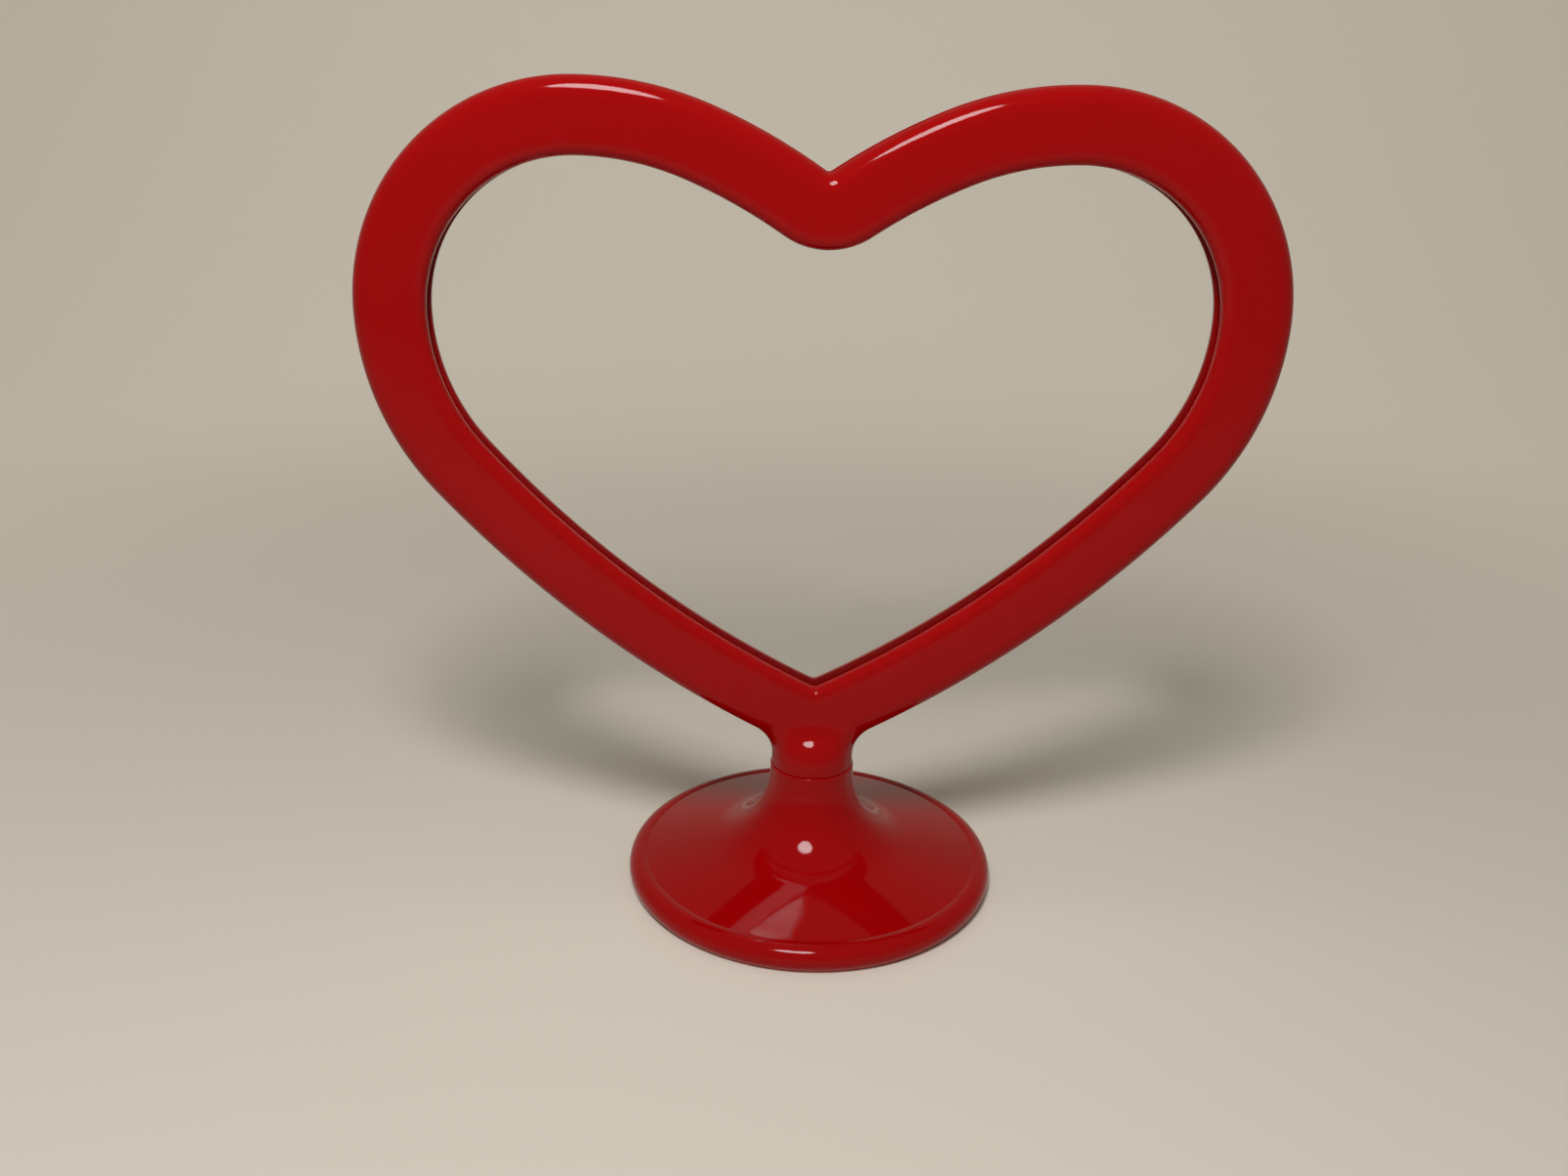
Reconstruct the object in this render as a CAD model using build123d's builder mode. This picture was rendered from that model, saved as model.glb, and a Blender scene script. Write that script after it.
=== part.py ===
from build123d import *
import os
from math import acos, asin, atan2, cos, degrees, hypot, radians, sin, sqrt

# Heart shaped photo frame on a round foot. Millimetres and degrees, +Z up, front towards -Y,
# origin on the table under the middle of the foot.

os.makedirs("parts", exist_ok=True)

# Heart outline: centreline of the right half, from the cleft round the lobe to the point
cleft_radius = 9.5
cleft_rise = 33.6
shoulder_radius = 133.0
shoulder_turn = 11.2
crown_radius = 72.8
lobe_radius = 43.3
flank_radius = 55.8
flank_turn = 41.2
limb_radius = 267.0

# Rail section: flat face, full rounding outside, softer rounding down to the lip inside
rail_width = 17.0
rail_depth = 11.2
outer_round = 5.8
inner_round = 4.2
round_fullness = 0.69
lip_land = 0.4
shell_wall = 1.8

# Clear panes, and the groove that they stand in
pane_thickness = 1.8
photo_gap = 0.3
pane_face_clearance = 0.25
pane_edge_clearance = 0.35
pane_top_inset = 1.0
groove_depth = 7.2
seat_rib = 1.5
seat_root = 1.0
channel_chamfer = 1.5

# Pegs that find one half shell in the other
peg_radius = 1.2
peg_length = 3.0
peg_fit = 0.05
peg_end_room = 0.3
peg_boss_wall = 1.0
flank_peg_shares = (0.0, 1.0)
limb_peg_shares = (0.4, 0.75)

# Neck, and the split spigot that snaps into the foot
neck_radius = 10.4
neck_rise = 12.3
neck_dome_radius = 9.5
neck_dome_drop = 10.3
neck_stations = (0.0, 0.25, 0.5, 0.75, 0.9)
neck_blend = 8.7
neck_edge = 0.3
spigot_radius = 8.3
spigot_wall = 1.8
snap_lip = 0.8
snap_height = 2.4
snap_clearance = 0.2
prong_slit = 1.5
prong_length = 14.0
neck_bore_rise = 5.0

# Trumpet foot
foot_radius = 47.5
foot_height = 32.0
foot_wall = 2.2
collar_radius = 10.7
collar_straight = 2.0
collar_edge = 0.3
flare_radius = 20.0
crease_inset = 4.5
crease_height = 6.3
rim_radius = 3.4
rim_undercut = 35.0
socket_depth = 22.0
socket_fit = 0.06

# Sizes that follow from these
half_width = rail_width / 2
half_depth = rail_depth / 2
groove_width = 2 * (pane_thickness + pane_face_clearance) + photo_gap
lip_height = groove_width / 2 + lip_land
hollow_height = half_depth - shell_wall
socket_radius = spigot_radius + socket_fit
peg_boss_radius = peg_radius + peg_fit + peg_boss_wall


def follow(x, z, heading, radius, turn):
    """Where an arc ends that starts at a point with a heading; left turns are positive."""
    side = 1 if turn > 0 else -1
    start = radians(heading)
    end = radians(heading + turn)
    x += side * radius * (sin(end) - sin(start))
    z -= side * radius * (cos(end) - cos(start))
    return x, z, heading + turn


def heart_arcs(shift):
    """Start, heading, radius and turn of each arc of the right half, shift outside the centreline.

    The origin is where the centreline passes the cleft, and the last arc ends at x = 0.
    """
    radii = (cleft_radius, shoulder_radius, crown_radius, lobe_radius, flank_radius)
    turns = (cleft_rise, -shoulder_turn, shoulder_turn - cleft_rise, -90.0, -flank_turn)
    x, z, heading = 0.0, shift, 0.0
    arcs = []
    for radius, turn in zip(radii, turns):
        reach = radius - shift if turn > 0 else radius + shift
        arcs.append((x, z, heading, reach, turn))
        x, z, heading = follow(x, z, heading, reach, turn)
    reach = limb_radius + shift
    last_heading = -180 - degrees(asin(sin(radians(heading)) + x / reach))
    arcs.append((x, z, heading, reach, last_heading - heading))
    return arcs


def heading_vector(heading):
    """Unit vector along a heading in the heart's plane."""
    return cos(radians(heading)), sin(radians(heading))


def heart_face(shift):
    """Filled heart whose edge lies shift outside the centreline."""
    with BuildSketch() as outline:
        with BuildLine():
            for x, z, heading, radius, turn in heart_arcs(shift):
                JernArc((x, z), heading_vector(heading), radius, turn)
            mirror(about=Plane.YZ)
        make_face()
    return outline.sketch


# The heart stands so that the point of its centreline is neck_rise above the foot
point_x, point_z, point_heading = follow(*heart_arcs(0)[-1])
cleft_height = foot_height + neck_rise - point_z
heart_plane = Plane((0, 0, cleft_height), x_dir=(1, 0, 0), z_dir=(0, -1, 0))
section_plane = Plane((0, 0, cleft_height), x_dir=(0, 0, 1), z_dir=(1, 0, 0))
mitre_overrun = rail_width

with BuildLine(heart_plane) as rail_path:
    for x, z, heading, radius, turn in heart_arcs(0):
        JernArc((x, z), heading_vector(heading), radius, turn)
    end_step = Vector(*heading_vector(point_heading)) * mitre_overrun
    Line((point_x, point_z), (point_x + end_step.X, point_z + end_step.Y))

# Front half of the heart on its neck, still solid
with BuildPart() as half_blank:
    with BuildSketch(section_plane):
        with BuildLine():
            outer_edge = Bezier(
                (half_width, 0),
                (half_width, round_fullness * half_depth),
                (half_width - (1 - round_fullness) * outer_round, half_depth),
                (half_width - outer_round, half_depth),
            )
            front_face = Line(outer_edge @ 1, (inner_round - half_width, half_depth))
            inner_edge = Bezier(
                front_face @ 1,
                ((1 - round_fullness) * inner_round - half_width, half_depth),
                (-half_width, lip_height + round_fullness * (half_depth - lip_height)),
                (-half_width, lip_height),
            )
            Polyline(inner_edge @ 1, (-half_width, 0), outer_edge @ 0)
        make_face()
    sweep(path=rail_path.wire())
    split(bisect_by=Plane.YZ, keep=Keep.TOP)
    mirror(about=Plane.YZ)

    # Neck: round at the seam, drawn in towards the face as it rises, run out into both limbs
    dome_height = foot_height + neck_rise - neck_dome_drop
    neck_levels = [foot_height] + [dome_height + share * neck_dome_radius for share in neck_stations]
    for level in neck_levels:
        dome_rise = max(level - dome_height, 0)
        neck_reach = neck_radius - neck_dome_radius + sqrt(neck_dome_radius**2 - dome_rise**2)
        with BuildSketch(Plane.XY.offset(level)):
            Ellipse(neck_radius, neck_reach)
            with Locations((0, neck_radius)):
                Rectangle(4 * neck_radius, 2 * neck_radius, mode=Mode.SUBTRACT)
    loft()
    junction = half_blank.edges(Select.NEW)
    fillet(junction, neck_blend)
    neck_foot = half_blank.edges().group_by(Axis.Z)[0]
    fillet(neck_foot.filter_by(GeomType.LINE, reverse=True), neck_edge)

    # Spigot with a snap lip below the socket, slit crosswise into four prongs
    lip_top = foot_height - socket_depth - snap_clearance
    spigot_end = lip_top - snap_height
    bore_radius = spigot_radius - spigot_wall
    with BuildSketch(Plane.XZ):
        with BuildLine():
            Polyline(
                (bore_radius, foot_height),
                (spigot_radius, foot_height),
                (spigot_radius, lip_top),
                (spigot_radius + snap_lip, lip_top),
                (spigot_radius - snap_lip, spigot_end),
                (bore_radius, spigot_end),
                close=True,
            )
        make_face()
    revolve(axis=-Axis.Z, revolution_arc=180)
    with BuildSketch(Plane.XY.offset(spigot_end)):
        Rectangle(prong_slit, 2 * (spigot_radius + snap_lip))
        Rectangle(2 * (spigot_radius + snap_lip), prong_slit)
    extrude(amount=prong_length, mode=Mode.SUBTRACT)

    # Bore through the spigot and up the neck
    with BuildSketch(Plane.XY.offset(spigot_end)):
        Circle(bore_radius)
    extrude(amount=dome_height + neck_bore_rise - spigot_end, mode=Mode.SUBTRACT)

# Hollow channels in the rail: one behind the face beside the panes, one outside the seat rib
channels = (
    (shell_wall, groove_depth - seat_root),
    (groove_depth + seat_rib, rail_width - shell_wall),
)
with BuildPart() as rail_hollow:
    for near, far in channels:
        far_face = heart_face(far - half_width)
        near_face = heart_face(near - half_width)
        with BuildSketch(heart_plane):
            add(far_face)
            add(near_face, mode=Mode.SUBTRACT)
        extrude(amount=hollow_height, both=True)
    outer_faces = rail_hollow.faces().filter_by(Axis.Y).sort_by(SortBy.AREA)[-2:]
    outer_corners = [edge for face in outer_faces for edge in face.outer_wire().edges()]
    chamfer(outer_corners, channel_chamfer)

# Room for the panes: the groove round the opening, open upwards through the slot in the top
groove_shift = groove_depth - half_width
slot_half, slot_foot, *_ = heart_arcs(groove_shift)[4]
slot_height = 2 * (lobe_radius + rail_width)
groove_face = heart_face(groove_shift)
with BuildPart() as pane_room:
    with BuildSketch(heart_plane):
        add(groove_face)
        with Locations((0, slot_foot)):
            Rectangle(2 * slot_half, slot_height, align=(Align.CENTER, Align.MIN))
    extrude(amount=groove_width / 2, both=True)

# Peg places, midway between the seat rib and the outer wall, on both sides of the heart
peg_shift = (sum(channels[1]) - rail_width) / 2
flank_arc, limb_arc = heart_arcs(peg_shift)[-2:]
peg_points = []
for (x, z, heading, radius, turn), shares in ((flank_arc, flank_peg_shares), (limb_arc, limb_peg_shares)):
    for share in shares:
        peg_x, peg_z, _ = follow(x, z, heading, radius, share * turn)
        peg_points += [(peg_x, peg_z), (-peg_x, peg_z)]

# Half shell: the blank hollowed out, with the bosses for the pegs
with BuildPart() as half_shell:
    add(half_blank.part)
    add(rail_hollow.part, mode=Mode.SUBTRACT)
    add(pane_room.part, mode=Mode.SUBTRACT)
    with BuildSketch(heart_plane):
        with Locations(*peg_points):
            Circle(peg_boss_radius)
    extrude(amount=half_depth - shell_wall / 2)

# Front half shell, with the sockets for the pegs
with BuildPart() as front_frame:
    add(half_shell.part)
    with BuildSketch(heart_plane):
        with Locations(*peg_points):
            Circle(peg_radius + peg_fit)
    extrude(amount=peg_length + peg_end_room, mode=Mode.SUBTRACT)
front_frame.part.label = "front_frame"
export_step(front_frame.part, "parts/front_frame.step")

# Back half shell, its mirror image, with the pegs
with BuildPart() as back_frame:
    mirror(half_shell.part, about=Plane.XZ)
    with BuildSketch(heart_plane):
        with Locations(*peg_points):
            Circle(peg_radius)
    extrude(amount=peg_length)
back_frame.part.label = "back_frame"
export_step(back_frame.part, "parts/back_frame.step")

# Clear panes: a heart that fills the groove, straight sided up to the slot, cut off below its mouth
pane_foot_face = heart_face(groove_shift - pane_edge_clearance)
pane_top_face = heart_face(half_width - pane_top_inset)
with BuildSketch() as pane_outline:
    add(pane_foot_face)
    with Locations((0, slot_foot)):
        Rectangle(2 * (slot_half - pane_edge_clearance), slot_height, align=(Align.CENTER, Align.MIN))
    add(pane_top_face, mode=Mode.INTERSECT)

with BuildPart() as front_pane:
    with BuildSketch(heart_plane.offset(photo_gap / 2)):
        add(pane_outline.sketch)
    extrude(amount=pane_thickness)
front_pane.part.label = "front_pane"
export_step(front_pane.part, "parts/front_pane.step")

with BuildPart() as back_pane:
    with BuildSketch(heart_plane.offset(-photo_gap / 2)):
        add(pane_outline.sketch)
    extrude(amount=-pane_thickness)
back_pane.part.label = "back_pane"
export_step(back_pane.part, "parts/back_pane.step")

# Trumpet foot: one even wall from the collar down the flare, over the dish and round the rim
crease_radius = foot_radius - crease_inset
rim_x = foot_radius - rim_radius
rim_z = crease_height - sqrt(rim_radius**2 - (crease_radius - rim_x) ** 2)
rim_start = degrees(asin((crease_height - rim_z) / rim_radius))
if crease_radius < rim_x:
    rim_start = 180 - rim_start
flare_x = collar_radius + flare_radius
flare_z = foot_height - collar_straight
dish_reach = hypot(crease_radius - flare_x, crease_height - flare_z)
dish_bearing = degrees(atan2(crease_height - flare_z, crease_radius - flare_x))
flare_turn = 180 + dish_bearing - degrees(acos(flare_radius / dish_reach))
with BuildPart() as base:
    with BuildSketch(Plane.XZ):
        with BuildLine():
            collar = Line((collar_radius, foot_height), (collar_radius, flare_z))
            flare = CenterArc((flare_x, flare_z), flare_radius, 180, flare_turn)
            Line(flare @ 1, (crease_radius, crease_height))
            rim = CenterArc((rim_x, rim_z), rim_radius, rim_start, -rim_start - rim_undercut)
            Line(rim @ 1, rim @ 1 + (rim % 1) * rim_radius)
            offset(amount=foot_wall, side=Side.RIGHT)
        make_face()
        with Locations((socket_radius, foot_height)):
            Rectangle(collar_radius - socket_radius, socket_depth, align=(Align.MIN, Align.MAX))
        Rectangle(4 * foot_radius, 4 * rim_radius, align=(Align.CENTER, Align.MAX), mode=Mode.SUBTRACT)
    revolve(axis=Axis.Z)
    collar_rims = base.edges().filter_by(GeomType.CIRCLE).group_by(Axis.Z)[-1]
    fillet(collar_rims.sort_by(SortBy.RADIUS)[-1], collar_edge)
base.part.label = "base"
export_step(base.part, "parts/base.step")
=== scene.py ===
from math import acos, asin, atan2, cos, degrees, hypot, pi, radians, sin, sqrt, tan

import bmesh
import bpy
import numpy as np
from mathutils import Matrix, Vector
from mathutils.bvhtree import BVHTree


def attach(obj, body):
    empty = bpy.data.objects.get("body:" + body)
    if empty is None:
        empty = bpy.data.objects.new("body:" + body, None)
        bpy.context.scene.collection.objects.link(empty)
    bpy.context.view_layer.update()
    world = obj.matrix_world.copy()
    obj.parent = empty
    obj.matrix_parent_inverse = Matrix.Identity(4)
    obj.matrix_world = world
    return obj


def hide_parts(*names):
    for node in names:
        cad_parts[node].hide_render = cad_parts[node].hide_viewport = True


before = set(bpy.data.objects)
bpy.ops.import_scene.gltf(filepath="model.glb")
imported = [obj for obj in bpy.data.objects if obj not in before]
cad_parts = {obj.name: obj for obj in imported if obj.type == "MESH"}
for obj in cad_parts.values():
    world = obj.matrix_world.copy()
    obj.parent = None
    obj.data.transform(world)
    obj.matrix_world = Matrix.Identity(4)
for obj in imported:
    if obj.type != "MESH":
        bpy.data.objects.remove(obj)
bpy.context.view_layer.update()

MM = 0.001

# Sizes of the frame in millimetres and degrees, given or worked out as in the part's source
cleft_radius, cleft_rise = 9.5, 33.6
shoulder_radius, shoulder_turn = 133.0, 11.2
crown_radius, lobe_radius = 72.8, 43.3
flank_radius, flank_turn = 55.8, 41.2
limb_radius = 267.0
rail_width, rail_depth = 17.0, 11.2
outer_round, inner_round, round_fullness = 5.8, 4.2, 0.69
slot_half_width, lip_height = 2.2, 2.6
groove_depth = 7.2
neck_radius, neck_rise = 10.4, 12.3
neck_dome_radius, neck_dome_drop, neck_blend, neck_edge = 9.5, 10.3, 8.7, 0.3
foot_radius, foot_height, foot_wall = 47.5, 32.0, 2.2
collar_radius, collar_straight, collar_edge = 10.7, 2.0, 0.3
flare_radius = 20.0
crease_radius, crease_height = 43.0, 6.3
rim_radius, rim_undercut = 3.4, 35.0
socket_radius, socket_depth = 8.36, 22.0
half_width, half_depth = rail_width / 2, rail_depth / 2
neck_dome_height = foot_height + neck_rise - neck_dome_drop

# Sizes of the looks alone, in millimetres: a tighter blend in front of the neck, the height that the
# neck's skin ends at and how far it stands proud of the rail, the line where the halves meet, and
# the softened mitre at the heart's point
neck_front_blend = 6.2
neck_top, neck_proud = 49.0, 0.006
seam_half_width = 0.07
point_soft, point_top = 1.2, 70.0

# How finely the meshes are divided: millimetres and degrees along the rail, then counts
station_least, station_turn, station_length = 12, 1.2, 2.0
fine_reach, fine_step = 9.0, 0.3
slot_points, outer_points, inner_points, section_points = 8, 26, 24, 25
dome_rings, neck_sides = 49, 180
foot_sides = 192

# Tolerances in metres, a guard against division by nought, and the angles of crisp edges
WELD, RIM_REACH, MICRON, PER_MICRON = 1e-7, 2e-6, 1e-6, 1e6
TINY = 1e-9
shell_crisp, foot_crisp = 35, 22


class Field:
    """A socket of a node tree; arithmetic on it adds Math nodes."""

    def __init__(self, maker, socket):
        self.maker, self.socket = maker, socket

    def _math(self, operation, *values):
        numbered = dict(enumerate(values))
        return self.maker.node(self.maker.math, {"operation": operation}, numbered)

    def __add__(self, other):
        return self._math("ADD", self, other)

    def __radd__(self, other):
        return self._math("ADD", other, self)

    def __sub__(self, other):
        return self._math("SUBTRACT", self, other)

    def __rsub__(self, other):
        return self._math("SUBTRACT", other, self)

    def __mul__(self, other):
        return self._math("MULTIPLY", self, other)

    def __rmul__(self, other):
        return self._math("MULTIPLY", other, self)

    def __truediv__(self, other):
        return self._math("DIVIDE", self, other)

    def __rtruediv__(self, other):
        return self._math("DIVIDE", other, self)

    def __lt__(self, other):
        return self._math("LESS_THAN", self, other)


class Maker:
    """Adds nodes to a tree, by type, settings, and the values or links of their sockets."""

    math = "ShaderNodeMath"

    def __init__(self, tree):
        self.tree = tree

    def node(self, kind, settings=None, sockets=None, out=0):
        node = self.tree.nodes.new(kind)
        for key, value in (settings or {}).items():
            setattr(node, key, value)
        for key, value in (sockets or {}).items():
            for one in value if isinstance(value, list) else [value]:
                if isinstance(one, Field):
                    self.tree.links.new(one.socket, node.inputs[key])
                else:
                    node.inputs[key].default_value = one
        return Field(self, node.outputs[out]) if node.outputs else node


# Outline of the heart

def follow(x, z, heading, radius, turn):
    """Where an arc ends that starts at a point with a heading; left turns are positive."""
    side = 1 if turn > 0 else -1
    start, end = radians(heading), radians(heading + turn)
    end_x = x + side * radius * (sin(end) - sin(start))
    end_z = z - side * radius * (cos(end) - cos(start))
    return end_x, end_z, heading + turn


def heart_arcs(shift):
    """Start, heading, radius and turn of each arc of the right half, shift outside the centreline."""
    radii = (cleft_radius, shoulder_radius, crown_radius, lobe_radius, flank_radius)
    turns = (cleft_rise, -shoulder_turn, shoulder_turn - cleft_rise, -90.0, -flank_turn)
    x, z, heading = 0.0, shift, 0.0
    arcs = []
    for radius, turn in zip(radii, turns):
        reach = radius - shift if turn > 0 else radius + shift
        arcs.append((x, z, heading, reach, turn))
        x, z, heading = follow(x, z, heading, reach, turn)
    reach = limb_radius + shift
    last = -180 - degrees(asin(sin(radians(heading)) + x / reach))
    arcs.append((x, z, heading, reach, last - heading))
    return arcs


FLANK, LIMB = 4, 5
point_x, point_z, point_heading = follow(*heart_arcs(0)[LIMB])
cleft_height = foot_height + neck_rise - point_z
slot_half, slot_rise = heart_arcs(groove_depth - half_width)[FLANK][:2]
slot_foot = slot_rise + cleft_height


def half_path():
    """Points of the right half of the centreline, run on straight past the point."""
    points = [(0.0, 0.0)]
    for x, z, heading, radius, turn in heart_arcs(0):
        length = abs(radians(turn)) * radius
        count = max(station_least, round(abs(turn) / station_turn), round(length / station_length))
        shares = [(i + 1) / count for i in range(count)]
        if radius == limb_radius:
            fine = 1 - fine_reach / length
            shares = [share for share in shares if share < fine]
            shares += list(np.linspace(fine, 1, round(fine_reach / fine_step) + 1))
        points += [follow(x, z, heading, radius, turn * share)[:2] for share in shares]
    step = Vector((cos(radians(point_heading)), sin(radians(point_heading))))
    runs = list(np.arange(fine_step, fine_reach, fine_step))
    runs += [fine_reach + station_length, fine_reach + 2 * station_length]
    points += [(point_x + step.x * run, point_z + step.y * run) for run in runs]
    return points


def curve_object(name, points, closed=False):
    """A curve of straight runs through flat points, given in millimetres."""
    curve = bpy.data.curves.new(name, "CURVE")
    curve.dimensions = "3D"
    spline = curve.splines.new("POLY")
    spline.points.add(len(points) - 1)
    for place, point in zip(spline.points, points):
        place.co = (point[0] * MM, point[1] * MM, 0.0, 1.0)
    spline.use_cyclic_u = closed
    piece = bpy.data.objects.new(name, curve)
    bpy.context.scene.collection.objects.link(piece)
    return piece


def grown(piece, tree, values):
    """Runs a tree on a piece and gives back the plain mesh that it makes."""
    modifier = piece.modifiers.new("grow", "NODES")
    modifier.node_group = tree
    for item in tree.interface.items_tree:
        if item.item_type == "SOCKET" and item.in_out == "INPUT" and item.name in values:
            modifier[item.identifier] = values[item.name]
    graph = bpy.context.evaluated_depsgraph_get()
    mesh = bpy.data.meshes.new_from_object(piece.evaluated_get(graph))
    piece.modifiers.remove(modifier)
    bpy.data.objects.remove(piece)
    return mesh


def as_form(mesh):
    """A mesh as an open form; the mesh itself is removed."""
    form = bmesh.new()
    form.from_mesh(mesh)
    bpy.data.meshes.remove(mesh)
    return form


def new_tree(name, inputs):
    """A geometry tree with named inputs; gives the maker and a lookup of its input fields."""
    tree = bpy.data.node_groups.new(name, "GeometryNodeTree")
    tree.interface.new_socket("Geometry", in_out="INPUT", socket_type="NodeSocketGeometry")
    for label, kind in inputs:
        tree.interface.new_socket(label, in_out="INPUT", socket_type=kind)
    tree.interface.new_socket("Geometry", in_out="OUTPUT", socket_type="NodeSocketGeometry")
    maker = Maker(tree)
    entry = tree.nodes.new("NodeGroupInput")
    fields = {socket.name: Field(maker, socket) for socket in entry.outputs if socket.name}
    return maker, fields


def close_tree(maker, geometry, material):
    """Ends a tree: plain mesh, material, output."""
    real = maker.node("GeometryNodeRealizeInstances", None, {"Geometry": geometry})
    dressed = maker.node("GeometryNodeSetMaterial", None, {"Geometry": real, "Material": material})
    maker.node("NodeGroupOutput", None, {"Geometry": dressed})
    return maker.tree


# Section of the rail; t runs along a rounding from its upright end to its flat end

def rounding_out(t, edge, run, full):
    """How far out a rounding lies, for numbers, arrays and fields."""
    return edge - run * (3 * (1 - t) * t * t * (1 - full) + t * t * t)


def rounding_up(t, low, rise, full):
    """How high a rounding lies, for numbers, arrays and fields."""
    rest = 1 - t
    return low + rise * (3 * rest * rest * t * full + 3 * rest * t * t + t * t * t)


# Strips of the section, by number
OUTER_LOW, OUTER_HIGH, FACE, INNER, LIP, GROOVE, SLOT_WALL, SEAT, PARTING = range(9)


def rail_tree(material):
    """Sweeps the half section along the half heart, mitres it at the point and mirrors it."""
    size = "NodeSocketFloat"
    maker, put = new_tree("heart_rail", [
        ("Rail width", size), ("Rail depth", size), ("Outer round", size), ("Inner round", size),
        ("Fullness", size), ("Lip height", size), ("Slot half width", size), ("Seat depth", size),
        ("Slot share", size), ("Point heading", size), ("Cleft height", size),
    ])
    half_w, half_d = put["Rail width"] / 2, put["Rail depth"] / 2
    full, slot = put["Fullness"], put["Slot half width"]
    outer, inner, lip = put["Outer round"], put["Inner round"], put["Lip height"]
    seat = put["Seat depth"] - half_w

    def flat(x, y):
        return maker.node("ShaderNodeCombineXYZ", None, {"X": x, "Y": y, "Z": 0.0})

    def spot(out, y):
        """A point of the section; the sweep lays +X to the right of its travel, which is inside."""
        return flat(0 - out, y)

    def numbered(geometry, name, value):
        return maker.node("GeometryNodeStoreNamedAttribute", {"data_type": "INT", "domain": "POINT"},
                          {"Geometry": geometry, "Name": name, "Value": value})

    def line(number, start, end):
        strip = maker.node("GeometryNodeCurvePrimitiveLine", None, {"Start": start, "End": end})
        return numbered(strip, "strip", number)

    def rounding(number, edge, run, low, rise, first, last, count):
        share = maker.node("GeometryNodeSplineParameter") * (last - first) + first
        place = spot(rounding_out(share, edge, run, full), rounding_up(share, low, rise, full))
        strip = maker.node("GeometryNodeCurvePrimitiveLine")
        strip = maker.node("GeometryNodeResampleCurve", None, {"Curve": strip, "Count": count})
        strip = maker.node("GeometryNodeSetPosition", None, {"Geometry": strip, "Position": place})
        return numbered(strip, "strip", number)

    share = put["Slot share"]
    inside = 0 - half_w
    slot_out = rounding_out(share, half_w, outer, full)
    strips = [
        rounding(OUTER_LOW, half_w, outer, 0.0, half_d, 0.0, share, slot_points),
        rounding(OUTER_HIGH, half_w, outer, 0.0, half_d, share, 1.0, outer_points),
        line(FACE, spot(half_w - outer, half_d), spot(inside + inner, half_d)),
        rounding(INNER, inside, 0 - inner, lip, half_d - lip, 0.0, 1.0, inner_points),
        line(LIP, spot(inside, lip), spot(inside, slot)),
        line(GROOVE, spot(inside, slot), spot(seat, slot)),
        line(SLOT_WALL, spot(seat, slot), spot(slot_out, slot)),
        line(SEAT, spot(seat, slot), spot(seat, 0.0)),
        line(PARTING, spot(seat, 0.0), spot(half_w, 0.0)),
    ]
    section = maker.node("GeometryNodeJoinGeometry", None, {"Geometry": strips[::-1]})
    path = maker.node("GeometryNodeSetCurveNormal", {"mode": "Z_UP"}, {"Curve": put["Geometry"]})
    path = numbered(path, "station", maker.node("GeometryNodeInputIndex"))
    swept = maker.node("GeometryNodeCurveToMesh", None, {"Curve": path, "Profile Curve": section})
    place = maker.node("GeometryNodeInputPosition")
    x = maker.node("ShaderNodeSeparateXYZ", None, {"Vector": place}, "X")
    along_x = maker.node("ShaderNodeMath", {"operation": "COSINE"}, {0: put["Point heading"]})
    along_y = maker.node("ShaderNodeMath", {"operation": "SINE"}, {0: put["Point heading"]})
    back = (0 - x) / along_x
    mitred = maker.node("GeometryNodeSetPosition", None, {
        "Geometry": swept, "Selection": x < 0.0, "Offset": flat(back * along_x, back * along_y)})
    other = maker.node("GeometryNodeTransform", None, {"Geometry": mitred, "Scale": (-1.0, 1.0, 1.0)})
    other = maker.node("GeometryNodeFlipFaces", None, {"Mesh": other})
    whole = maker.node("GeometryNodeJoinGeometry", None, {"Geometry": [other, mitred]})
    lift = maker.node("ShaderNodeCombineXYZ", None, {"X": 0.0, "Y": 0.0, "Z": put["Cleft height"]})
    whole = maker.node("GeometryNodeTransform", None, {
        "Geometry": whole, "Translation": lift, "Rotation": (pi / 2, 0.0, 0.0)})
    return close_tree(maker, whole, material)


def slot_share():
    """Share of the outer rounding, from the parting plane, that lies beside the slot."""
    low, high, halvings = 0.0, 1.0, 50
    for _ in range(halvings):
        t = (low + high) / 2
        beside = rounding_up(t, 0.0, half_depth, round_fullness) < slot_half_width
        low, high = (t, high) if beside else (low, t)
    return low


red = bpy.data.materials.new("glossy_red")
red.use_nodes = True
clear = bpy.data.materials.new("clear_sheet")
clear.use_nodes = True


# Half shells of the heart

def soften_point(form):
    """Rounds the mitre's valley at the heart's point, above the groove that the sheets stand in."""
    slope, clear_of_groove = tan(radians(180 + point_heading)), 0.01
    groove_side = (slot_half_width + clear_of_groove) * MM
    seat_top = (foot_height + neck_rise + rail_width / 4) * MM
    for vert in form.verts:
        near = point_soft * MM - abs(vert.co.x)
        above_seat = vert.co.y > groove_side or vert.co.z > seat_top
        if near > 0 and above_seat and vert.co.z < point_top * MM:
            vert.co.z += slope * near * near / (2 * point_soft * MM)


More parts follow.
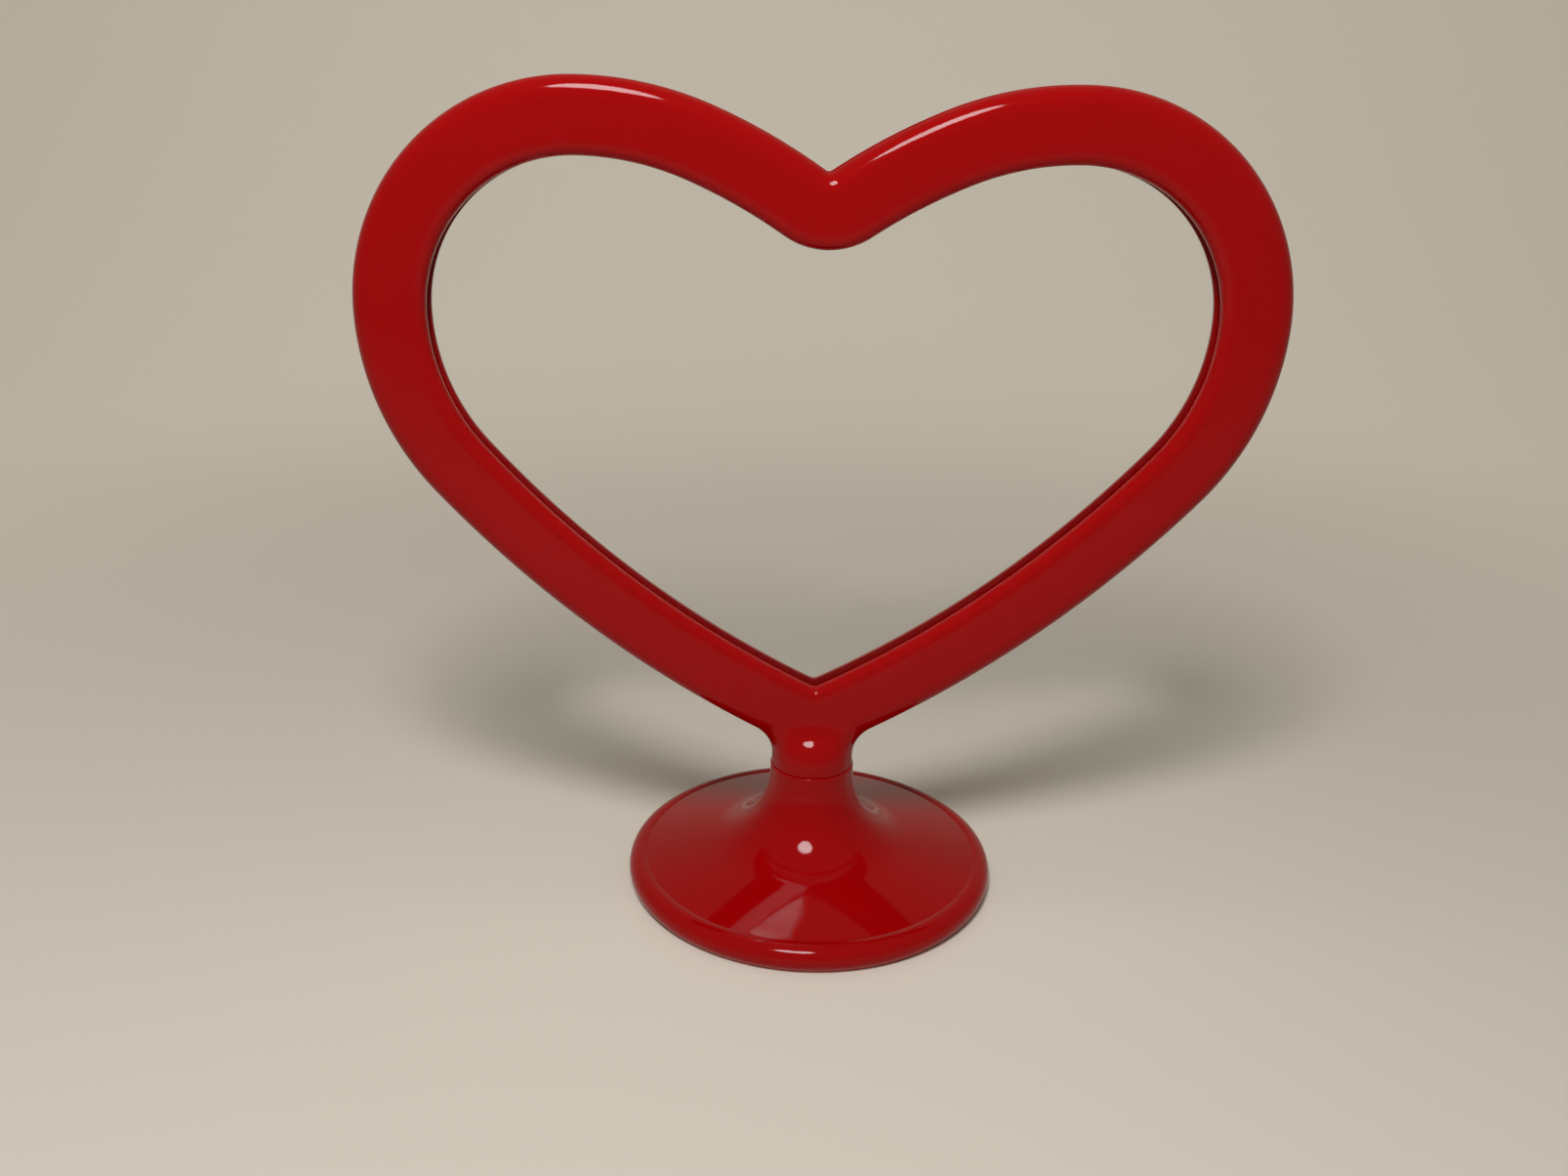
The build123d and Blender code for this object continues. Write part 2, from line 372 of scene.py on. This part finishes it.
def rail_shell():
    """The swept rail of the back half, with the slot cut open over the top."""
    form = as_form(grown(curve_object("heart_path", half_path()), rail_tree(red), {
        "Rail width": rail_width * MM, "Rail depth": rail_depth * MM,
        "Outer round": outer_round * MM, "Inner round": inner_round * MM,
        "Fullness": round_fullness, "Lip height": lip_height * MM,
        "Slot half width": slot_half_width * MM, "Seat depth": groove_depth * MM,
        "Slot share": slot_share(), "Point heading": radians(point_heading),
        "Cleft height": cleft_height * MM,
    }))
    strip, station = form.verts.layers.int["strip"], form.verts.layers.int["station"]
    for vert in form.verts:
        if vert[station] == 0:
            vert.co.x = 0

    def above_slot_foot(face):
        return face.calc_center_median().z > slot_foot * MM

    def in_slot(face):
        return above_slot_foot(face) and abs(face.calc_center_median().x) < slot_half * MM

    def strips(*numbers):
        return [face for face in form.faces if face.verts[0][strip] in numbers]

    for side in (-1, 1):
        cut = [f for f in strips(OUTER_LOW, SLOT_WALL, PARTING) if above_slot_foot(f)]
        parts = set(cut) | {e for f in cut for e in f.edges} | {v for f in cut for v in f.verts}
        bmesh.ops.bisect_plane(form, geom=list(parts), dist=WELD,
                               plane_co=(side * slot_half * MM, 0, 0), plane_no=(1, 0, 0))
    away = [f for f in strips(OUTER_LOW, SEAT, PARTING) if in_slot(f)]
    away += [f for f in strips(SLOT_WALL) if not in_slot(f)]
    bmesh.ops.delete(form, geom=away, context="FACES")
    bmesh.ops.remove_doubles(form, verts=form.verts, dist=2 * WELD)
    for side in (-1, 1):
        rim = [e for e in form.edges if e.is_boundary
               and all(abs(v.co.x - side * slot_half * MM) < RIM_REACH for v in e.verts)]
        bmesh.ops.edgenet_fill(form, edges=rim)
    soften_point(form)
    bmesh.ops.recalc_face_normals(form, faces=form.faces)
    return form


def distance_to(line, px, py):
    """Distance from points to a line of straight runs, all in one plane."""
    best = np.full(px.shape, np.inf)
    for (ax, ay), (bx, by) in zip(line[:-1], line[1:]):
        length = max((bx - ax) ** 2 + (by - ay) ** 2, TINY)
        share = np.clip(((px - ax) * (bx - ax) + (py - ay) * (by - ay)) / length, 0, 1)
        best = np.minimum(best, np.hypot(px - ax - share * (bx - ax), py - ay - share * (by - ay)))
    return best


def rail_gap(x, y, z):
    """Distance outside the lower limbs of the rail; below zero inside."""
    limb_x, limb_z, heading, reach, _ = heart_arcs(0)[LIMB]
    centre_x = limb_x + reach * sin(radians(heading))
    centre_z = limb_z + cleft_height - reach * cos(radians(heading))
    out = np.hypot(np.abs(x) - centre_x, z - centre_z) - reach
    t = np.linspace(0, 1, section_points)
    round_x = rounding_out(t, half_width, outer_round, round_fullness)
    round_y = rounding_up(t, 0, half_depth, round_fullness)
    gap = distance_to(list(zip(round_x, round_y)) + [(-half_width, half_depth)], out, y)
    edge = np.interp(y, round_y, round_x)
    return np.where((y < half_depth) & (out < edge), -gap, gap)


def bare_neck():
    """Search tree of the neck without its blend: round at the seam, drawn in as it rises."""
    rings = [(foot_height - neck_blend, neck_radius)]
    for turn in np.linspace(0, pi / 2, dome_rings):
        height = neck_dome_height + neck_dome_radius * sin(turn)
        rings.append((height, neck_radius - neck_dome_radius * (1 - cos(turn))))
    around = np.linspace(0, 2 * pi, neck_sides + 1)[:-1]
    points = [(neck_radius * cos(a), deep * sin(a), z) for z, deep in rings for a in around]
    faces = []
    for low in range(0, (len(rings) - 1) * neck_sides, neck_sides):
        for j in range(neck_sides):
            ahead = (j + 1) % neck_sides
            faces.append([low + j, low + ahead, low + neck_sides + ahead, low + neck_sides + j])
    faces.append([(len(rings) - 1) * neck_sides + j for j in range(neck_sides)])
    return BVHTree.FromPolygons(points, faces)


def blended_gap(neck_tree, x, y, z):
    """Distance outside rail and neck, with a ball rolled along the corner between the two."""
    probe, most_lean = 0.02, 0.97
    rail = rail_gap(x, y, z)
    ahead = (rail_gap(x + probe, y, z), rail_gap(x, y + probe, z), rail_gap(x, y, z + probe))
    rail_slope = np.stack([there - rail for there in ahead], axis=-1)
    rail_slope /= np.maximum(np.linalg.norm(rail_slope, axis=-1, keepdims=True), TINY)
    places = np.stack([x, y, z], axis=-1)
    found = [neck_tree.find_nearest(place) for place in places.reshape(-1, 3)]
    way = places - np.array([hit[0] for hit in found]).reshape(places.shape)
    rise = np.clip(z - neck_dome_height, 0, neck_dome_radius)
    deep = neck_radius - neck_dome_radius + np.sqrt(neck_dome_radius ** 2 - rise ** 2)
    within = (np.hypot(x / neck_radius, y / deep) < 1) & (rise < neck_dome_radius)
    neck = np.where(within, -1, 1) * np.linalg.norm(way, axis=-1)
    neck_slope = way / np.where(np.abs(neck) < TINY, 1, neck)[..., None]
    lean = np.clip((rail_slope * neck_slope).sum(axis=-1), -most_lean, most_lean)
    front = y * y / np.maximum(x * x + y * y, TINY)
    blend = neck_blend + (neck_front_blend - neck_blend) * front
    a, b = blend - rail, blend - neck
    reach = np.sqrt(np.maximum(a * a + b * b - 2 * lean * a * b, 0) / (1 - lean ** 2))
    corner = (a > lean * b) & (b > lean * a)
    return np.where(corner, blend - reach, np.minimum(rail, neck))


def neck_grid():
    """Points of the neck's back half, by row, from the seam to the end of its blend on the rail."""
    edge_rows, rows, columns, first_row = 6, 70, 141, 0.5
    squeeze, farthest, halvings = 0.4, 32.0, 18
    low = foot_height + neck_edge * (1 - np.cos(np.linspace(0, pi / 2, edge_rows)))
    heights = np.concatenate([low, np.linspace(foot_height + first_row, neck_top, rows)])
    bend = np.linspace(0, pi, columns)
    angle, z = np.meshgrid(np.arctan2(np.sin(bend) * squeeze, np.cos(bend)), heights)
    near, far, tree = np.zeros_like(z), np.full_like(z, farthest), bare_neck()
    for _ in range(halvings):
        middle = (near + far) / 2
        inside = blended_gap(tree, middle * np.cos(angle), middle * np.sin(angle), z) < 0
        near, far = np.where(inside, middle, near), np.where(inside, far, middle)
    edge_rise = np.clip(neck_edge - (z - foot_height), 0, neck_edge)
    reach = near + neck_proud - neck_edge + np.sqrt(neck_edge ** 2 - edge_rise ** 2)
    return np.stack([reach * np.cos(angle), np.maximum(reach * np.sin(angle), 0), z], axis=-1) * MM


def add_neck(form, rows):
    """Adds the neck of the back half, blended into the rail's point, over the rail."""
    grid = [[form.verts.new(place) for place in row] for row in rows]
    for row, above in zip(grid[:-1], grid[1:]):
        for i in range(len(row) - 1):
            form.faces.new((row[i], row[i + 1], above[i + 1], above[i]))


def add_spigot(form, node, flip):
    """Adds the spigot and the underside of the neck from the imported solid's own facets."""
    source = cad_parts[node].data
    made = {}
    for face in source.polygons:
        points = [source.vertices[i].co for i in face.vertices]
        too_high = max(p.z for p in points) > foot_height * MM + MICRON
        if too_high or max(p.xy.length for p in points) > neck_radius * MM:
            continue
        corners = []
        for p in points:
            key = tuple(round(v * PER_MICRON) for v in (p.x, p.y * flip, p.z))
            if key not in made:
                made[key] = form.verts.new((p.x, p.y * flip, p.z))
            corners.append(made[key])
        if len(set(corners)) == len(corners) and not form.faces.get(corners):
            form.faces.new(corners if flip > 0 else corners[::-1])


def finish_form(name, form, material, angle):
    """Turns a form into an object with smooth faces and crisp edges."""
    mesh = bpy.data.meshes.new(name)
    form.to_mesh(mesh)
    form.free()
    mesh.materials.clear()
    mesh.materials.append(material)
    for attribute in ("strip", "station"):
        if attribute in mesh.attributes:
            mesh.attributes.remove(mesh.attributes[attribute])
    mesh.shade_smooth()
    mesh.set_sharp_from_angle(angle=radians(angle))
    piece = bpy.data.objects.new(name, mesh)
    bpy.context.scene.collection.objects.link(piece)
    return piece


def shell(name, node, side, neck):
    """One half shell: side 1 is the back half, -1 the front half."""
    form = rail_shell()
    add_neck(form, neck)
    add_spigot(form, node, side)
    if side < 0:
        bmesh.ops.scale(form, vec=(1, -1, 1), verts=form.verts)
        bmesh.ops.reverse_faces(form, faces=form.faces)
    piece = finish_form(name, form, red, shell_crisp)
    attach(piece, "heart")
    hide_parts(node)


neck_rows = neck_grid()
shell("front_shell", "front_frame", -1, neck_rows)
shell("back_shell", "back_frame", 1, neck_rows)


# Foot

def arc_points(x, z, radius, start, turn, count):
    """Points on an arc, from a start angle through a turn."""
    angles = [radians(start + turn * i / count) for i in range(count + 1)]
    return [(x + radius * cos(a), z + radius * sin(a)) for a in angles]


def foot_profile():
    """The foot's wall, from the socket's mouth over the outside to the rim and back underneath."""
    collar_steps, flare_steps, rim_steps = 6, 56, 48
    under_steps, crease_steps, under_rim_steps = 40, 6, 12
    dish_shares = (0.2, 0.4, 0.6, 0.8, 0.97, 0.99)
    flare_x, flare_z = collar_radius + flare_radius, foot_height - collar_straight
    reach = hypot(crease_radius - flare_x, crease_height - flare_z)
    bearing = degrees(atan2(crease_height - flare_z, crease_radius - flare_x))
    flare_turn = 180 + bearing - degrees(acos(flare_radius / reach))
    rim_x = foot_radius - rim_radius
    rim_z = crease_height - sqrt(rim_radius ** 2 - (crease_radius - rim_x) ** 2)
    rim_start = degrees(asin((crease_height - rim_z) / rim_radius))
    if crease_radius < rim_x:
        rim_start = 180 - rim_start
    rim_turn = -rim_start - rim_undercut
    under = flare_radius + foot_wall
    under_start = 180 + degrees(asin(sqrt(under ** 2 - flare_radius ** 2) / under))
    slope = 180 + flare_turn
    mouth = foot_height - collar_edge
    under_rim = rim_radius - foot_wall

    def to_floor(radius):
        a = radians(-rim_undercut)
        x, z = rim_x + radius * cos(a), rim_z + radius * sin(a)
        return x + z / sin(radians(90 - rim_undercut)) * cos(radians(90 + rim_undercut)), 0.0

    outside = arc_points(collar_radius - collar_edge, mouth, collar_edge, 90, -90, collar_steps)
    outside += arc_points(flare_x, flare_z, flare_radius, 180, flare_turn, flare_steps)
    dish_start, crease = outside[-1], (crease_radius, crease_height)
    for share in dish_shares:
        outside.append(tuple(a + (b - a) * share for a, b in zip(dish_start, crease)))
    outside += arc_points(rim_x, rim_z, rim_radius, rim_start, rim_turn, rim_steps)
    outside.append(to_floor(rim_radius))
    inside = arc_points(flare_x, flare_z, under, under_start, slope - under_start, under_steps)
    inside += arc_points(*crease, foot_wall, slope, 180 + rim_start - slope, crease_steps)
    inside += arc_points(rim_x, rim_z, under_rim, rim_start, rim_turn, under_rim_steps)
    inside.append(to_floor(under_rim))
    socket_end = foot_height - socket_depth
    socket = [(collar_radius, socket_end), (socket_radius, socket_end)]
    return [(socket_radius, foot_height)] + outside + inside[::-1] + socket


def turned_tree(material):
    """Turns a closed profile round the upright axis."""
    maker, put = new_tree("turned_foot", [
        ("Path radius", "NodeSocketFloat"), ("Segments", "NodeSocketInt")])
    ring = maker.node("GeometryNodeCurvePrimitiveCircle", None, {
        "Resolution": put["Segments"], "Radius": put["Path radius"]})
    ring = maker.node("GeometryNodeSetCurveNormal", {"mode": "Z_UP"}, {"Curve": ring})
    turned = maker.node("GeometryNodeCurveToMesh", None, {
        "Curve": ring, "Profile Curve": put["Geometry"]})
    return close_tree(maker, turned, material)


def foot():
    """The round foot, turned from its profile."""
    profile = [(r - collar_radius, -z) for r, z in foot_profile()]
    form = as_form(grown(curve_object("foot_profile", profile, True), turned_tree(red), {
        "Path radius": collar_radius * MM, "Segments": foot_sides}))
    bmesh.ops.remove_doubles(form, verts=form.verts, dist=WELD)
    bmesh.ops.recalc_face_normals(form, faces=form.faces)
    piece = finish_form("foot", form, red, foot_crisp)
    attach(piece, "base")
    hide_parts("base")


foot()


# Finishes

def two_tone(maker, share, first, second):
    """A colour between two; the Mix node repeats its sockets' names, so they go by number."""
    mix_share, mix_first, mix_second, mix_colour = 0, 6, 7, 2
    return maker.node("ShaderNodeMix", {"data_type": "RGBA"}, {
        mix_share: share, mix_first: first, mix_second: second}, mix_colour)


def layered(maker, share, under, over):
    """A shader between two, by share."""
    return maker.node("ShaderNodeMixShader", None, {0: share, 1: under, 2: over})


def red_plastic():
    """Glossy plastic, coloured through: faint flow marks, handling haze, a fine line at the seam."""
    deep_red, light_red = (0.315, 0.0002, 0.0010, 1.0), (0.345, 0.0004, 0.0014, 1.0)
    seam_red, seam_cover = (0.02, 0.0001, 0.0002, 1.0), 0.75
    gloss_rough, haze_rough, seam_rough = 0.03, 0.06, 0.4
    seam_start = foot_height + 0.05
    maker = Maker(red.node_tree)
    red.node_tree.nodes.clear()
    place = maker.node("ShaderNodeTexCoord", None, None, "Object")
    flow = maker.node("ShaderNodeTexNoise", None, {"Vector": place, "Scale": 28.0, "Detail": 3.0})
    haze = maker.node("ShaderNodeTexNoise", None, {"Vector": place, "Scale": 190.0, "Detail": 4.0})
    y = maker.node("ShaderNodeSeparateXYZ", None, {"Vector": place}, "Y")
    z = maker.node("ShaderNodeSeparateXYZ", None, {"Vector": place}, "Z")
    above_foot = 1 - (z < seam_start * MM)
    seam = (y * y < (seam_half_width * MM) ** 2) * above_foot
    colour = two_tone(maker, flow, deep_red, light_red)
    colour = two_tone(maker, seam * seam_cover, colour, seam_red)
    bump = maker.node("ShaderNodeBump", None, {"Strength": 0.04, "Distance": 0.0004, "Height": flow})
    plastic = maker.node("ShaderNodeBsdfPrincipled", None, {
        "Base Color": colour, "Roughness": haze * haze_rough + seam * seam_rough + gloss_rough,
        "Specular IOR Level": 0.15, "Normal": bump})
    maker.node("ShaderNodeOutputMaterial", None, {"Surface": plastic})


def clear_sheet():
    """Clear sheet: light goes through, gloss grows at a flat angle, and the cut edge is frosted."""
    face_gloss, slant_gloss = 0.012, 0.7
    cut_edge, frost = 0.5, 0.6
    maker = Maker(clear.node_tree)
    clear.node_tree.nodes.clear()
    place = maker.node("ShaderNodeTexCoord", None, None, "Object")
    facing = maker.node("ShaderNodeTexCoord", None, None, "Normal")
    smear = maker.node("ShaderNodeTexNoise", None, {"Vector": place, "Scale": 30.0, "Detail": 5.0})
    through = maker.node("ShaderNodeBsdfTransparent", None, {"Color": (0.997, 0.999, 0.998, 1.0)})
    gloss = maker.node("ShaderNodeBsdfGlossy", None, {
        "Color": (1.0, 1.0, 1.0, 1.0), "Roughness": smear * 0.02 + 0.004})
    slant = maker.node("ShaderNodeLayerWeight", None, {"Blend": 0.5}, "Facing")
    mirrored = slant * slant * slant * slant * slant * slant_gloss + face_gloss
    sheet = layered(maker, mirrored, through, gloss)
    pale = two_tone(maker, smear, (0.62, 0.68, 0.68, 1.0), (0.74, 0.79, 0.79, 1.0))
    frosted = maker.node("ShaderNodeBsdfPrincipled", None, {
        "Base Color": pale, "Roughness": smear * 0.2 + 0.25})
    across = maker.node("ShaderNodeSeparateXYZ", None, {"Vector": facing}, "Y")
    rim = (across * across < cut_edge ** 2) * frost
    whole = layered(maker, rim, sheet, frosted)
    maker.node("ShaderNodeOutputMaterial", None, {"Surface": whole})


red_plastic()
clear_sheet()
for node in ("front_pane", "back_pane"):
    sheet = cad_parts[node]
    sheet.data.materials.clear()
    sheet.data.materials.append(clear)


# Floor, light and camera

def seen_rays(maker):
    """One for rays of the camera, of reflections and through clear pieces, nought for light."""
    kinds = ("Is Camera Ray", "Is Glossy Ray", "Is Transmission Ray")
    camera_ray, glossy_ray, through_ray = (
        maker.node("ShaderNodeLightPath", None, None, kind) for kind in kinds)
    return camera_ray + glossy_ray + through_ray


def pale_floor():
    """Matt pale board, a little brighter to the eye and in reflections away from the frame."""
    board_colour, far_glow = (0.76, 0.70, 0.60, 1.0), (0.20, 0.175, 0.14, 1.0)
    dark = (0.0, 0.0, 0.0, 1.0)
    glow_start, glow_full = 0.12, 0.62
    pale = bpy.data.materials.new("pale_floor")
    pale.use_nodes = True
    pale.node_tree.nodes.clear()
    maker = Maker(pale.node_tree)
    place = maker.node("ShaderNodeTexCoord", None, None, "Object")
    away = maker.node("ShaderNodeVectorMath", {"operation": "LENGTH"}, {0: place}, "Value")
    far = maker.node("ShaderNodeMapRange", {"interpolation_type": "SMOOTHSTEP"}, {
        "Value": away, "From Min": glow_start, "From Max": glow_full, "To Min": 0.0, "To Max": 1.0})
    glow = two_tone(maker, seen_rays(maker) * far, dark, far_glow)
    board = maker.node("ShaderNodeBsdfPrincipled", None, {
        "Base Color": board_colour, "Roughness": 0.75,
        "Emission Color": glow, "Emission Strength": 1.0})
    maker.node("ShaderNodeOutputMaterial", None, {"Surface": board})
    return pale


def floor():
    """Plain pale floor that runs up behind in one sweep, in metres."""
    reach, bend_start, bend, bend_step, top = 6.0, 0.35, 0.5, 3, 3.0
    line = [(-reach, 0.0), (bend_start, 0.0)]
    for degree in range(bend_step, 90 + 1, bend_step):
        a = radians(degree)
        line.append((bend_start + bend * sin(a), bend - bend * cos(a)))
    line.append((bend_start + bend, top))
    points = [(x, y, z) for y, z in line for x in (-reach, reach)]
    faces = [(i, i + 1, i + 3, i + 2) for i in range(0, len(points) - 2, 2)]
    mesh = bpy.data.meshes.new("floor")
    mesh.from_pydata(points, [], faces)
    mesh.materials.append(pale_floor())
    mesh.shade_smooth()
    piece = bpy.data.objects.new("floor", mesh)
    bpy.context.scene.collection.objects.link(piece)


def lamp(name, place, aim, size, power):
    """A soft round lamp that points at a place."""
    light = bpy.data.lights.new(name, "AREA")
    light.shape, light.size, light.energy = "DISK", size, power
    piece = bpy.data.objects.new(name, light)
    piece.location = place
    piece.rotation_euler = (Vector(aim) - Vector(place)).to_track_quat("-Z", "Y").to_euler()
    bpy.context.scene.collection.objects.link(piece)


def soft_room():
    """Even light from all sides, which looks like the far floor."""
    white, far_floor = (1.0, 1.0, 1.0, 1.0), (0.352, 0.315, 0.26, 1.0)
    world = bpy.data.worlds.new("soft_room")
    world.use_nodes = True
    world.node_tree.nodes.clear()
    maker = Maker(world.node_tree)
    light = maker.node("ShaderNodeBackground", None, {"Color": white, "Strength": 0.2})
    pale = maker.node("ShaderNodeBackground", None, {"Color": far_floor, "Strength": 1.0})
    room = layered(maker, seen_rays(maker), light, pale)
    maker.node("ShaderNodeOutputWorld", None, {"Surface": room})
    bpy.context.scene.world = world


def camera():
    """The camera at the photograph's place and angle."""
    yaw, pitch, roll = radians(1.32), radians(20.35), radians(1.22)
    stand = Vector((-15.47, -317.51, 197.26)) * MM
    focal_pixels, picture_pixels, sensor = 1404.0, 1606, 36.0
    up = Vector((0, 0, 1))
    ahead, right = Vector((sin(yaw), cos(yaw), 0)), Vector((cos(yaw), -sin(yaw), 0))
    look, rise = cos(pitch) * ahead - sin(pitch) * up, cos(pitch) * up + sin(pitch) * ahead
    side, top = cos(roll) * right + sin(roll) * rise, cos(roll) * rise - sin(roll) * right
    lens = bpy.data.cameras.new("camera")
    lens.sensor_width, lens.sensor_fit = sensor, "HORIZONTAL"
    lens.lens = sensor * focal_pixels / picture_pixels
    lens.clip_start = 0.01
    piece = bpy.data.objects.new("camera", lens)
    turn = Matrix((side, top, -look)).transposed().to_4x4()
    piece.matrix_world = Matrix.Translation(stand) @ turn
    bpy.context.scene.collection.objects.link(piece)
    bpy.context.scene.camera = piece


floor()
lamp("key_lamp", place=(-0.075, -0.342, 0.567), aim=(0, 0.12, 0.1), size=0.2, power=2.8)
soft_room()
camera()
bpy.context.scene.view_settings.view_transform = "Standard"
